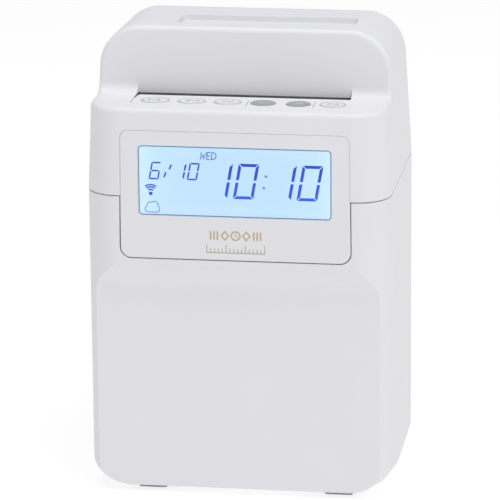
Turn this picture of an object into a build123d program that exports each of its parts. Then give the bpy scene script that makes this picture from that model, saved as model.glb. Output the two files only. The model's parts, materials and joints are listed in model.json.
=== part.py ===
"""A desk-top punch time clock, as an assembly of its separate pieces.

Millimetres, +Z up, front facing -Y. The origin is on the surface that the clock stands on,
at the middle of its outline. A time card drops into the slot behind the six buttons.
"""

import os
from math import cos, pi, sin

from build123d import *

os.makedirs("parts", exist_ok=True)

# ---- Driving dimensions ---------------------------------------------------------------------

half_width = 76.75
half_width_rear = 77.5
front_y = -63.0
rear_y = 60.5
foot_height = 3.6
seam_z = 158.0
seam_gap = 0.5
seam_edge_radius = 0.35
top_z = 237.0
wall = 2.4

front_corner_radius = 17.5
rear_corner_radius = 20.0
# Rounding along the bottom of the sides: place along Y, and radius there. It is drawn a
# trace wider than the sides, so that the two surfaces cross.
bottom_rounding = [(front_y, 24.2), (-45.0, 13.3), (-15.0, 5.0), (rear_y, 7.3)]
rounding_relief = 0.02

# Sunk flat area on the front of the lower case.
sunk_top_z = 125.0
sunk_bottom_z = 106.0
sunk_depth = 5.5

# Upper cover: sides lean in towards the top, the shelf carries the buttons and the hood
# stands behind the card slot.
side_lean = 3.4
side_lean_rear = 4.2
rear_lean = 5.0
shelf_z = 203.2
hood_face_y = -26.3
hood_face_lean = 1.2
roof_slope = 0.056
hood_corner_radius = 21.5
hood_inner_radius = 17.4
rim_radius = 2.6
shelf_blend_radius = 5.0

# Shallow pocket in the roof.
pocket_x = 8.6
pocket_y = -1.0
pocket_width = 90.4
pocket_depth = 24.0
pocket_radius = 3.0
pocket_drop = 2.6

# Card slot and channel.
slot_half_width = 54.5
slot_front_y = -30.9
channel_half_width = 44.5
channel_bottom_z = 12.0
sheet = 1.2

# Display.
bezel_half_width = 58.2
bezel_top_half_width = 57.6
bezel_top_z = 192.2
bezel_bottom_z = 126.3
bezel_thickness = 1.6
bezel_sink = 0.1
bezel_top_radius = 4.1
bezel_bottom_radius = 5.6
bezel_seat_gap = 0.08
bezel_notch_gap = 0.5
bezel_seat_half_width = 62.0
bezel_seat_top_z = 196.0
module_opening_half_width = 56.6
module_opening_top_z = 188.6
window_half_width = 48.9
window_bottom_z = 148.35
window_top_z = 184.8
window_radius = 1.9
window_middle_z = (window_bottom_z + window_top_z) / 2
lens_width = 102.0
lens_height = 41.6
lens_thickness = 1.0
panel_half_width = 50.6
panel_z = (146.0, 187.2)
panel_y = (-60.3, -57.6)
backlight_y = (-57.5, -54.6)
display_board_half_width = 56.0
display_board_y = (-54.2, -52.6)
display_board_z = (131.0, 188.0)
display_post_spots = [(-54.4, 136), (-54.4, 184), (54.4, 136), (54.4, 184)]
display_post_radius = 1.8
display_screw_radius = 0.9

# Buttons: centre and width of each oval.
button_row_y = -42.3
button_depth = 11.5
button_centres = [-42.9, -24.4, -6.2, 11.7, 29.5, 46.8]
button_widths = [15.0, 14.8, 14.4, 12.9, 12.7, 13.5]
button_clearance = 0.25
strip_top_z = shelf_z - 0.5
strip_lip_z = shelf_z - 8.1
button_board_z = shelf_z - 7.4
strip_front_y = -50.6
strip_gap = 0.2
strip_flange = 1.2
strip_flange_half_width = 59.0
strip_flange_front_y = -54.5
strip_post_spots = [(-56.5, -51.5), (-56.5, -38.5), (56.5, -51.5), (56.5, -38.5)]
button_board_thickness = 1.6
button_rise = 0.35
button_flange = 0.7
switch_half_width = 3.0
switch_height = 1.4

# Underside: the base plate with its screws, and the feet.
base_front_y = -54.2
base_rear_y = 49.8
base_screw_spots = [(-34, -49), (34, -49), (-49, 44), (49, 44)]
base_half_width = 54.6
base_gap = 0.2
base_corner_radius = 3.0
base_rib_end_x = 75.4
base_rib_front_y = -56.0
base_rib_half_thickness = 1.2
base_rib_z = (12.0, 22.0)
base_boss_radius = 4.0
base_screw_radius = 1.3
base_screw_top_z = 16.0
louvre_count = 7
louvre_pitch = 4.0
louvre_width = 2.0
louvre_start_x = -12.0
louvre_y = (-20.0, 0.0)
foot_spots = [(-45.9, -45), (50.2, -45), (-45.9, 32), (50.2, 32)]
foot_width = 14.2
foot_depth = 10.0
foot_corner_radius = 1.5
foot_stem_radius = 2.0

# Mechanism frame: two side plates, each with a foot that turns inwards.
plate_x = 56.0
plate_thickness = 1.5
plate_y = (-37.0, 46.0)
plate_top_z = 182.0
plate_corner_radius = 5.0
plate_foot_y = (-30.0, 36.0)
plate_foot_inner_x = 44.0
plate_foot_lip_x = 54.4
lightening_radius = 14.0
base_top_z = foot_height + 2.0
case_floor_z = foot_height + wall + 0.4

# Card feed.
card_y = (hood_face_y + slot_front_y) / 2
feed_z = 120.0
nip_gap = 0.2
feed_roller_radius = 8.0
feed_shaft_radius = 2.5
pinch_roller_radius = 5.0
pinch_shaft_radius = 1.5
roller_x = 25.0
roller_width = 12.0
feed_y = card_y + nip_gap + feed_roller_radius
pinch_y = card_y - nip_gap - pinch_roller_radius
running_gap = 0.05
bearing_radius = 5.0
bearing_flange_radius = 6.5

gear_module = 1.0
gear_teeth = 32
pinion_teeth = 12
gear_x = -64.0
gear_width = 4.0
motor_y = feed_y + gear_module * (gear_teeth + pinion_teeth) / 2
motor_shaft_radius = 1.5

# Print carriage, home at the left.
carriage_home_x = -24.0
carriage_half_width = 12.0
rail_y = -6.0
rail_z = 160.0
rail_radius = 3.0
rear_rail_y = 9.0
rear_rail_radius = 2.0
pulley_x = 42.0
pulley_y = 1.5
pulley_radius = 5.0
pulley_z = 146.3
belt_thickness = 1.0
print_window_bottom_z = 164.0
print_window_top_z = 180.0
deck_y = (-14.0, 16.0)
deck_z = (144.6, 146.0)
pulley_shaft_radius = 1.5

# Ribbon cassette and the knob that winds the ribbon by hand.
tray_z = (161.5, 163.5)
cassette_half_width = 53.0
cassette_y = (14.0, 45.0)
cassette_z = (163.5, 179.5)
cassette_arm_inner_x = 47.0
ribbon_z = (168.0, 176.0)
ribbon_thickness = 0.2
knob_x = 34.0
knob_y = 30.0
knob_radius = 7.0
knob_stem_radius = 2.0
knob_bottom_z = 179.8
knob_height = 6.0

# Main board on the rear wall, and the openings in that wall.
board_half_width = 50.0
board_y = (50.0, 51.6)
board_z = (26.0, 120.0)
standoff_spots = [(-44, 32), (-44, 112), (44, 32), (44, 112)]
standoff_radius = 3.0
inlet_half_width = 12.6
inlet_front_y = 44.0
inlet_z = (8.0, 25.0)
inlet_gap = 0.2
wall_hole_x = 35.0
wall_hole_z = 135.0
wall_hole_radius = 2.6

# Hinge of the upper cover, along the top edge of the rear wall.
hinge_y = 60.8
hinge_radius = 2.2
hinge_pin_radius = 1.0
hinge_inner_x = 28.0
knuckle_length = 10.0
knuckle_gap = 0.3

# Key lock in the left side wall.
lock_y = -10.0
lock_z = 146.0
lock_radius = 8.0
lock_flange = 1.6
key_plug_radius = 5.5
lock_outer_x = -77.7
lock_inner_x = -69.9
cam_length = 16.0
cam_half_width = 3.5
cam_thickness = 1.5
striker_x = -64.5
striker_y = (0.0, 9.0)
striker_top_z = 164.0
striker_bottom_z = 138.0
striker_thickness = 2.0


# ---- Small helpers --------------------------------------------------------------------------

def block(x, y, z, mode=Mode.ADD):
    """Box between two limits on each axis, added to the part being built."""
    middle = [(low + high) / 2 for low, high in (x, y, z)]
    with Locations(tuple(middle)):
        return Box(x[1] - x[0], y[1] - y[0], z[1] - z[0], mode=mode)


def rod_x(radius, x, y, z, mode=Mode.ADD):
    """Cylinder along X between two x limits."""
    with Locations(Location(((x[0] + x[1]) / 2, y, z), (0, 90, 0))):
        return Cylinder(radius, x[1] - x[0], mode=mode)


def rod_y(radius, x, y, z, mode=Mode.ADD):
    """Cylinder along Y between two y limits."""
    with Locations(Location((x, (y[0] + y[1]) / 2, z), (90, 0, 0))):
        return Cylinder(radius, y[1] - y[0], mode=mode)


def rod_z(radius, x, y, z, mode=Mode.ADD):
    """Cylinder along Z between two z limits."""
    with Locations((x, y, (z[0] + z[1]) / 2)):
        return Cylinder(radius, z[1] - z[0], mode=mode)


def save(part, label):
    """Labels one finished piece and writes it as its own STEP file."""
    part.label = label
    export_step(part, f"parts/{label}.step")


def plan_outline(half_front, half_rear, front, rear, front_radius, back_radius):
    """Rounded outline seen from above, a little narrower at the rear."""
    with BuildSketch() as outline:
        with BuildLine():
            Polyline(
                (-half_front, front),
                (half_front, front),
                (half_rear, rear),
                (-half_rear, rear),
                close=True,
            )
        make_face()
        fillet(outline.vertices().group_by(Axis.Y)[0], front_radius)
        fillet(outline.vertices().group_by(Axis.Y)[-1], back_radius)
    return outline.sketch


def elevation_outline(half, radius, low, high):
    """Front view of the lower case, rounded at its two bottom corners."""
    with BuildSketch() as outline:
        with Locations((0, (low + high) / 2)):
            Rectangle(2 * half, high - low)
        fillet(outline.vertices().group_by(Axis.Y)[0], radius)
    return outline.sketch


def bezel_outline(grow):
    """Front view of the display bezel, grown all round by a gap."""
    with BuildSketch() as outline:
        with BuildLine():
            Polyline(
                (-bezel_half_width - grow, bezel_bottom_z - grow),
                (bezel_half_width + grow, bezel_bottom_z - grow),
                (bezel_top_half_width + grow, bezel_top_z + grow),
                (-bezel_top_half_width - grow, bezel_top_z + grow),
                close=True,
            )
        make_face()
        fillet(outline.vertices().group_by(Axis.Y)[0], bezel_bottom_radius + grow)
        fillet(outline.vertices().group_by(Axis.Y)[-1], bezel_top_radius + grow)
    return outline.sketch


# ---- Lower case -----------------------------------------------------------------------------

def lower_body(inset, top):
    """Solid of the lower case drawn in by a wall thickness."""
    with BuildPart() as body:
        with BuildSketch(Plane.XY.offset(foot_height + inset)):
            add(
                plan_outline(
                    half_width - inset,
                    half_width_rear - inset,
                    front_y + inset,
                    rear_y - inset,
                    front_corner_radius - inset,
                    rear_corner_radius - inset,
                )
            )
        extrude(amount=top - foot_height - inset)
        widening = (half_width_rear - half_width) / (rear_y - front_y)
        for y, radius in bottom_rounding:
            half = half_width + widening * (y - front_y) + rounding_relief
            with BuildSketch(Plane.XZ.offset(-y)):
                add(elevation_outline(half - inset, radius - inset, foot_height + inset, top + 20))
        loft(ruled=True, mode=Mode.INTERSECT)
        with BuildSketch(Plane.YZ):
            with BuildLine():
                start = (front_y + inset, sunk_top_z + inset)
                finish = (start[0] + sunk_depth, sunk_bottom_z + inset)
                middle = ((start[0] + finish[0]) / 2, (start[1] + finish[1]) / 2)
                upper = TangentArc(start, middle, tangent=(0, -1))
                TangentArc(middle, finish, tangent=upper % 1)
                Polyline(finish, (finish[0], 0), (front_y - 5, 0), (front_y - 5, start[1]), start)
            make_face()
        extrude(amount=100, both=True, mode=Mode.SUBTRACT)
    return body.part


def make_lower_case():
    """Open-topped case with the notch for the bezel, hinge knuckles, lock hole and bosses."""
    outer = lower_body(0, seam_z - seam_gap / 2)
    inner = lower_body(wall, seam_z + 5)
    with BuildPart() as case:
        add(outer)
        fillet(case.faces().sort_by(Axis.Z)[-1].edges(), seam_edge_radius)
        add(inner, mode=Mode.SUBTRACT)
        # Opening in the bottom for the base plate.
        opening_half = base_half_width + base_gap
        opening_y = (base_front_y - base_gap, base_rear_y + base_gap)
        block((-opening_half, opening_half), opening_y, (0, 10), mode=Mode.SUBTRACT)
        # Notch for the lower tab of the bezel.
        with BuildSketch(Plane.XZ.offset(-front_y + 1)):
            add(bezel_outline(bezel_notch_gap))
        extrude(amount=-8, mode=Mode.SUBTRACT)
        # Ribs and bosses that take the base screws.
        for x, y in base_screw_spots:
            rib_x = (x - base_rib_half_thickness, x + base_rib_half_thickness)
            rib_y = (y - base_rib_half_thickness, y + base_rib_half_thickness)
            if y < 0:
                block(rib_x, (base_rib_front_y, y), base_rib_z)
            elif x < 0:
                block((-base_rib_end_x, x), rib_y, base_rib_z)
            else:
                block((x, base_rib_end_x), rib_y, base_rib_z)
            rod_z(base_boss_radius, x, y, (base_top_z, base_rib_z[1]))
            bore = (base_top_z - 1, base_screw_top_z + 1)
            rod_z(base_screw_radius, x, y, bore, mode=Mode.SUBTRACT)
        # Standoffs for the main board.
        for x, z in standoff_spots:
            rod_y(standoff_radius, x, (board_y[1], rear_y - 1), z)
        # Opening for the power inlet, and two holes to hang the clock on a wall.
        through = (rear_y - 5.5, rear_y + 4.5)
        inlet_half = inlet_half_width + inlet_gap
        inlet_rise = (inlet_z[0] - inlet_gap, inlet_z[1] + inlet_gap)
        block((-inlet_half, inlet_half), through, inlet_rise, mode=Mode.SUBTRACT)
        for x in (-wall_hole_x, wall_hole_x):
            rod_y(wall_hole_radius, x, through, wall_hole_z, mode=Mode.SUBTRACT)
        # Hinge knuckles, and room for the knuckles of the cover.
        for side in (-1, 1):
            own = sorted((side * hinge_inner_x, side * (hinge_inner_x + knuckle_length)))
            far = hinge_inner_x + knuckle_length
            end = far + knuckle_length + 2 * knuckle_gap
            other = sorted((side * (far - 0.1), side * end))
            rod_x(hinge_radius, own, hinge_y, seam_z)
            rod_x(hinge_radius + knuckle_gap, other, hinge_y, seam_z, mode=Mode.SUBTRACT)
            rod_x(hinge_pin_radius, own, hinge_y, seam_z, mode=Mode.SUBTRACT)
        # Hole for the key lock.
        rod_x(lock_radius, (-80, -65), lock_y, lock_z, mode=Mode.SUBTRACT)
        sunk = (-80, lock_outer_x + 1)
        rod_x(lock_radius + lock_flange + 0.2, sunk, lock_y, lock_z, mode=Mode.SUBTRACT)
    save(case.part, "lower_case")


def make_base():
    """Base plate, its screws and the four rubber feet."""
    with BuildPart() as plate:
        across = (-base_half_width, base_half_width)
        block(across, (base_front_y, base_rear_y), (foot_height, base_top_z))
        fillet(plate.edges().filter_by(Axis.Z), base_corner_radius)
        with Locations([(x, y, foot_height) for x, y in base_screw_spots]):
            with Locations(Location((0, 0, 0), (180, 0, 0))):
                CounterSinkHole(1.6, 3.0, 2.5, 90)
        for x, y in foot_spots:
            rod_z(foot_stem_radius, x, y, (0, 10), mode=Mode.SUBTRACT)
        # Louvres that let air in under the power unit.
        for step in range(louvre_count):
            x = louvre_start_x + louvre_pitch * step
            block((x, x + louvre_width), louvre_y, (0, 10), mode=Mode.SUBTRACT)
    save(plate.part, "base_plate")

    with BuildPart() as screws:
        for x, y in base_screw_spots:
            rod_z(base_screw_radius, x, y, (foot_height + 0.2, base_screw_top_z))
            with Locations((x, y, foot_height + 0.2 + 0.7)):
                Cone(2.7, 1.4, 1.4)
    save(screws.part, "base_screws")

    with BuildPart() as feet:
        with BuildSketch():
            with Locations(foot_spots):
                RectangleRounded(foot_width, foot_depth, foot_corner_radius)
        extrude(amount=foot_height)
        for x, y in foot_spots:
            rod_z(foot_stem_radius, x, y, (foot_height - 0.1, base_top_z))
    save(feet.part, "rubber_feet")


# ---- Upper cover ----------------------------------------------------------------------------

def cover_profile(inset):
    """Side view of the shelf and hood, as a closed outline in the YZ plane."""
    shelf = shelf_z - inset
    face = hood_face_y + inset
    lean = hood_face_lean / (top_z - shelf_z)
    top = top_z - inset
    brow = (face + lean * (top - shelf), top)
    blend = shelf_blend_radius
    with BuildSketch() as profile:
        with BuildLine():
            Polyline((-90, shelf), (-90, 100), (90, 100), (90, top - roof_slope * (90 - brow[0])))
            Line((90, top - roof_slope * (90 - brow[0])), brow)
            Line(brow, (face + lean * blend, shelf + blend))
            TangentArc(
                (face + lean * blend, shelf + blend),
                (face - blend, shelf),
                tangent=(-lean, -1),
            )
            Line((face - blend, shelf), (-90, shelf))
        make_face()
    return profile.sketch


def cover_body(inset):
    """Solid of the upper cover drawn in by a wall thickness."""
    low = seam_z + seam_gap / 2 if inset == 0 else seam_z - 5
    high = top_z + 3

    def section(height):
        share = (height - seam_z) / (top_z - seam_z)
        return plan_outline(
            half_width - side_lean * share - inset,
            half_width_rear - side_lean_rear * share - inset,
            front_y + inset,
            rear_y - rear_lean * share - inset,
            front_corner_radius - inset,
            rear_corner_radius - inset,
        )

    with BuildPart() as body:
        with BuildSketch(Plane.XY.offset(low)):
            add(section(low))
        with BuildSketch(Plane.XY.offset(high)):
            add(section(high))
        loft(ruled=True)
        with BuildSketch(Plane.YZ):
            add(cover_profile(inset))
        extrude(amount=100, both=True, mode=Mode.INTERSECT)
        roof = body.faces().sort_by(Axis.Z)[-1]
        corner_radius = hood_corner_radius if inset == 0 else hood_inner_radius
        fillet(roof.edges().sort_by(Axis.Y)[1:], corner_radius)
    return body.part


def rounded_rim(solid):
    """Rounds the closed rim of edges round the shelf and the face of the hood."""
    with BuildPart() as body:
        add(solid)
        touching = []
        for face in body.faces():
            centre = face.center()
            if abs(centre.X) < 1 and centre.Y < hood_face_y + 2 and centre.Z > shelf_z - 0.1:
                touching.append(face)
        rim = ShapeList()
        for face in touching:
            for edge in face.edges():
                shared = [f for f in touching if any(edge.is_same(e) for e in f.edges())]
                if len(shared) == 1:
                    rim.append(edge)
        fillet(rim, rim_radius)
    return body.part


def make_upper_cover():
    """Hood and shelf in one shell, with the seat of the bezel, the slot and the hinge."""
    outer = rounded_rim(cover_body(0))
    inner = cover_body(wall)
    brow_y = hood_face_y + hood_face_lean
    face_lean = hood_face_lean / (top_z - shelf_z)
    roof_plane = Plane(
        origin=(pocket_x, pocket_y, top_z - roof_slope * (pocket_y - brow_y)),
        x_dir=(1, 0, 0),
        z_dir=(0, roof_slope, 1),
    )
    with BuildPart() as cover:
        add(outer)
        fillet(cover.faces().sort_by(Axis.Z)[0].edges(), seam_edge_radius)
        add(inner, mode=Mode.SUBTRACT)
        # Seat behind the bezel.
        block(
            (-bezel_seat_half_width, bezel_seat_half_width),
            (front_y + 1, front_y + 4),
            (seam_z + seam_gap / 2, bezel_seat_top_z),
        )
        # Shallow pocket in the roof, with its own floor.
        with BuildSketch(roof_plane.offset(-1)):
            RectangleRounded(pocket_width + 6, pocket_depth + 6, pocket_radius + 3)
        extrude(amount=-3.8)
        with BuildSketch(roof_plane.offset(1)):
            RectangleRounded(pocket_width, pocket_depth, pocket_radius)
        extrude(amount=-(pocket_drop + 1), mode=Mode.SUBTRACT)
        # Opening for the bezel, and the window that the display passes through.
        with BuildSketch(Plane.XZ.offset(-front_y + 1)):
            add(bezel_outline(bezel_seat_gap))
        extrude(amount=-(bezel_thickness + 1), mode=Mode.SUBTRACT)
        block(
            (-module_opening_half_width, module_opening_half_width),
            (front_y - 2, front_y + 8),
            (seam_z - 5, module_opening_top_z),
            mode=Mode.SUBTRACT,
        )
        # Opening for the button strip and the card slot, with its rear flush with the hood.
        front = strip_front_y - strip_gap
        rise = 8.0
        with BuildSketch(Plane.YZ):
            with BuildLine():
                Polyline(
                    (front, shelf_z - 6),
                    (hood_face_y, shelf_z - 6),
                    (hood_face_y, shelf_z),
                    (hood_face_y + rise * face_lean, shelf_z + rise),
                    (front, shelf_z + rise),
                    close=True,
                )
            make_face()
        extrude(amount=slot_half_width, both=True, mode=Mode.SUBTRACT)
        block(
            (-slot_half_width, slot_half_width),
            (hood_face_y, hood_face_y + 2.2),
            (shelf_z - 8, shelf_z - 1),
        )
        # Hinge knuckles, and room for the knuckles of the case.
        for side in (-1, 1):
            far = hinge_inner_x + knuckle_length
            end = far + knuckle_gap + knuckle_length
            own = sorted((side * (far + knuckle_gap), side * end))
            other = sorted((side * (hinge_inner_x - knuckle_gap), side * (far + 0.15)))
            rod_x(hinge_radius, own, hinge_y, seam_z)
            block(own, (rear_y - wall, hinge_y - 0.5), (seam_z + knuckle_gap, seam_z + 3))
            rod_x(hinge_radius + knuckle_gap, other, hinge_y, seam_z, mode=Mode.SUBTRACT)
            bore = sorted((side * (far - 0.5), side * end))
            rod_x(hinge_pin_radius + running_gap, bore, hinge_y, seam_z, mode=Mode.SUBTRACT)
        # Striker that the cam of the key lock catches.
        block((-half_width + 1.2, striker_x), striker_y, (striker_top_z - 4, striker_top_z))
        drop = (striker_bottom_z, striker_top_z)
        block((striker_x - striker_thickness, striker_x), striker_y, drop)
        block((lock_inner_x, striker_x), striker_y, (striker_bottom_z, striker_bottom_z + 2.5))
    save(cover.part, "upper_cover")

    with BuildPart() as pins:
        for side in (-1, 1):
            far = hinge_inner_x + 2 * knuckle_length + knuckle_gap
            span = sorted((side * hinge_inner_x, side * far))
            rod_x(hinge_pin_radius, span, hinge_y, seam_z)
    save(pins.part, "hinge_pins")


# ---- Display --------------------------------------------------------------------------------

def make_display():
    """Bezel, lens, panel, backlight and board, one behind the other."""
    back_of_bezel = front_y + bezel_thickness
    with BuildPart() as bezel:
        with BuildSketch(Plane.XZ.offset(-front_y - bezel_sink)):
            add(bezel_outline(0))
        extrude(amount=bezel_sink - bezel_thickness)
        fillet(bezel.faces().sort_by(Axis.Y)[0].outer_wire().edges(), 0.4)
        with BuildSketch(Plane.XZ.offset(-front_y + 1)):
            with Locations((0, window_middle_z)):
                RectangleRounded(
                    2 * window_half_width, window_top_z - window_bottom_z, window_radius
                )
        extrude(amount=-5, mode=Mode.SUBTRACT)
        for x, z in display_post_spots:
            rod_y(display_post_radius, x, (back_of_bezel - 0.2, display_board_y[0]), z)
            rod_y(display_screw_radius, x, (back_of_bezel, -54), z, mode=Mode.SUBTRACT)
    save(bezel.part, "display_bezel")

    with BuildPart() as lens:
        with BuildSketch(Plane.XZ.offset(-back_of_bezel)):
            with Locations((0, window_middle_z)):
                Rectangle(lens_width, lens_height)
        extrude(amount=-lens_thickness)
        with BuildSketch(Plane.XZ.offset(-front_y - 0.4)):
            with Locations((0, window_middle_z)):
                RectangleRounded(
                    2 * window_half_width - 0.2,
                    window_top_z - window_bottom_z - 0.2,
                    window_radius - 0.1,
                )
        extrude(amount=-1.4)
    save(lens.part, "display_lens")

    with BuildPart() as panel:
        block((-panel_half_width, panel_half_width), panel_y, panel_z)
    save(panel.part, "lcd_panel")

    with BuildPart() as backlight:
        block((-panel_half_width, panel_half_width), backlight_y, panel_z)
        # Narrow tail that carries the lamps, under the light guide.
        block((-38, 38), (backlight_y[0], -55.5), (142.5, panel_z[0]))
    save(backlight.part, "lcd_backlight")

    with BuildPart() as board:
        across = (-display_board_half_width, display_board_half_width)
        rear = display_board_y[1]
        block(across, display_board_y, display_board_z)
        for x, z in display_post_spots:
            rod_y(1.0, x, (-56, -50), z, mode=Mode.SUBTRACT)
        # Connector along the foot of the board and two driver chips.
        block((-14, 14), (rear, rear + 3.1), (133, 138))
        block((-30, -18), (rear, rear + 1.6), (152, 164))
        block((14, 28), (rear, rear + 1.6), (154, 168))
    save(board.part, "display_board")

    with BuildPart() as screws:
        for x, z in display_post_spots:
            rear = display_board_y[1]
            rod_y(display_screw_radius, x, (rear - 5.9, rear), z)
            rod_y(2.0, x, (rear, rear + 1.2), z)
    save(screws.part, "display_screws")


# ---- Buttons --------------------------------------------------------------------------------

def make_buttons():
    """Strip with six oval keys, over a board with a switch under each key."""
    roof_of_flange = shelf_z - wall
    foot_of_flange = roof_of_flange - strip_flange
    strip_x = (-slot_half_width + strip_gap, slot_half_width - strip_gap)
    flange_x = (-strip_flange_half_width, strip_flange_half_width)
    with BuildPart() as strip:
        block(strip_x, (strip_front_y, slot_front_y), (roof_of_flange, strip_top_z))
        rise = (foot_of_flange, roof_of_flange)
        block(flange_x, (strip_flange_front_y, slot_front_y), rise)
        block(strip_x, (slot_front_y - 1.4, slot_front_y), (strip_lip_z, roof_of_flange))
        for x, y in strip_post_spots:
            rod_z(2.0, x, y, (button_board_z, foot_of_flange + 0.1))
        for x, width in zip(button_centres, button_widths):
            with BuildSketch(Plane.XY.offset(strip_top_z + 1)):
                with Locations((x, button_row_y)):
                    Ellipse(width / 2, button_depth / 2)
            extrude(amount=-6, mode=Mode.SUBTRACT)
    save(strip.part, "button_strip")

    with BuildPart() as board:
        rise = (button_board_z - button_board_thickness, button_board_z)
        block(flange_x, (strip_flange_front_y + 0.5, -36.4), rise)
    save(board.part, "button_board")

    with BuildPart() as switches:
        for x in button_centres:
            block(
                (x - switch_half_width, x + switch_half_width),
                (button_row_y - switch_half_width, button_row_y + switch_half_width),
                (button_board_z, button_board_z + switch_height),
            )
            plunger = (button_board_z, button_board_z + switch_height + 0.4)
            rod_z(1.6, x, button_row_y, plunger)
    save(switches.part, "button_switches")

    for number, (x, width) in enumerate(zip(button_centres, button_widths), start=1):
        with BuildPart() as key:
            low = foot_of_flange - 0.1
            with BuildSketch(Plane.XY.offset(low)):
                with Locations((x, button_row_y)):
                    Ellipse(width / 2 - button_clearance, button_depth / 2 - button_clearance)
            extrude(amount=strip_top_z + button_rise - low)
            fillet(key.faces().sort_by(Axis.Z)[-1].edges(), 0.3)
            with BuildSketch(Plane.XY.offset(low)):
                with Locations((x, button_row_y)):
                    Ellipse(width / 2 + button_flange, button_depth / 2 + button_flange)
            extrude(amount=-0.9)
        save(key.part, f"button_{number}")


# ---- Mechanism frame and card path ----------------------------------------------------------

def make_side_plate(side, label):
    """Upright sheet with a foot, drilled for the shafts and rails."""
    x = sorted((side * plate_x, side * (plate_x + plate_thickness)))
    with BuildPart() as plate:
        across = (x[0] - 1, x[1] + 1)
        lip = sorted((side * plate_foot_inner_x, side * plate_foot_lip_x))
        foot = sorted((side * plate_foot_inner_x, side * plate_x))
        block(x, plate_y, (case_floor_z, plate_top_z))
        fillet(plate.edges().filter_by(Axis.X), plate_corner_radius)
        # Cut back round the rear base boss.
        block(across, (38, 50), (0, 30), mode=Mode.SUBTRACT)
        block(lip, plate_foot_y, (base_top_z, case_floor_z + 1))
        block(foot, plate_foot_y, (case_floor_z, case_floor_z + 1))
        block(x, plate_foot_y, (case_floor_z, case_floor_z + 8))
        rod_x(bearing_radius, across, feed_y, feed_z, mode=Mode.SUBTRACT)
        rod_x(pinch_shaft_radius + running_gap, across, pinch_y, feed_z, mode=Mode.SUBTRACT)
        rod_x(rail_radius, across, rail_y, rail_z, mode=Mode.SUBTRACT)
        rod_x(rear_rail_radius, across, rear_rail_y, rail_z, mode=Mode.SUBTRACT)
        if side < 0:
            rod_x(3.5, across, motor_y, feed_z, mode=Mode.SUBTRACT)
        # Round lightening hole.
        rod_x(lightening_radius, across, 12, 60, mode=Mode.SUBTRACT)
    save(plate.part, label)


def make_card_path():
    """Two upright guides with the card between them, and the strips at its edges."""
    with BuildPart() as front:
        block(
            (-plate_x, plate_x), (slot_front_y - sheet, slot_front_y), (channel_bottom_z, 192)
        )
        block((-46.2, 46.2), (-33, -28), (167, 177), mode=Mode.SUBTRACT)
        for x in (-roller_x, roller_x):
            block((x - 7, x + 7), (-33, -28), (feed_z - 5.4, feed_z + 5.4), mode=Mode.SUBTRACT)
    save(front.part, "front_card_guide")

    with BuildPart() as platen:
        block((-46, 46), (slot_front_y - 4.5, slot_front_y), (167.2, 176.8))
        fillet(platen.edges().filter_by(Axis.X).group_by(Axis.Y)[0], 1.5)
    save(platen.part, "platen")

    with BuildPart() as rear:
        block(
            (-plate_x, plate_x),
            (hood_face_y, hood_face_y + sheet),
            (channel_bottom_z, print_window_bottom_z),
        )
        for x in (-roller_x, roller_x):
            block((x - 7, x + 7), (-27, -22), (feed_z - 7.5, feed_z + 7.5), mode=Mode.SUBTRACT)
        # Notches round the bearing flanges.
        for side in (-1, 1):
            x = sorted((side * 54.5, side * 57))
            block(x, (-27, -22), (feed_z - 7.5, feed_z + 7.5), mode=Mode.SUBTRACT)
    save(rear.part, "rear_card_guide")

    with BuildPart() as upper:
        block(
            (-plate_x, plate_x), (hood_face_y, hood_face_y + sheet), (print_window_top_z, 195)
        )
        block((-plate_x, -50), (hood_face_y + sheet, -16), (print_window_top_z, 181.5))
        block((50, plate_x), (hood_face_y + sheet, -16), (print_window_top_z, 181.5))
    save(upper.part, "upper_rear_guide")

    with BuildPart() as edges_of_channel:
        for side in (-1, 1):
            x = sorted((side * channel_half_width, side * (channel_half_width + 3)))
            block(x, (slot_front_y, hood_face_y), (channel_bottom_z, 162))
    save(edges_of_channel.part, "card_edge_guides")

    with BuildPart() as stop:
        block(
            (-channel_half_width, channel_half_width),
            (slot_front_y, hood_face_y),
            (channel_bottom_z, channel_bottom_z + 3),
        )
        block((-30, 30), (slot_front_y, hood_face_y), (base_top_z, channel_bottom_z))
    save(stop.part, "card_stop")


# ---- Card feed ------------------------------------------------------------------------------

def gear_outline(teeth, turn):
    """Straight-sided teeth round a pitch circle, turned by a share of one tooth."""
    pitch_radius = gear_module * teeth / 2
    tip = pitch_radius + 0.8 * gear_module
    root = pitch_radius - 1.1 * gear_module
    step = 2 * pi / teeth
    points = []
    for tooth in range(teeth):
        middle = (tooth + turn) * step
        for radius, share in ((root, -0.33), (tip, -0.11), (tip, 0.11), (root, 0.33)):
            angle = middle + share * step
            points.append((radius * cos(angle), radius * sin(angle)))
    with BuildSketch() as outline:
        with BuildLine():
            Polyline(*points, close=True)
        make_face()
    return outline.sketch


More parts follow.
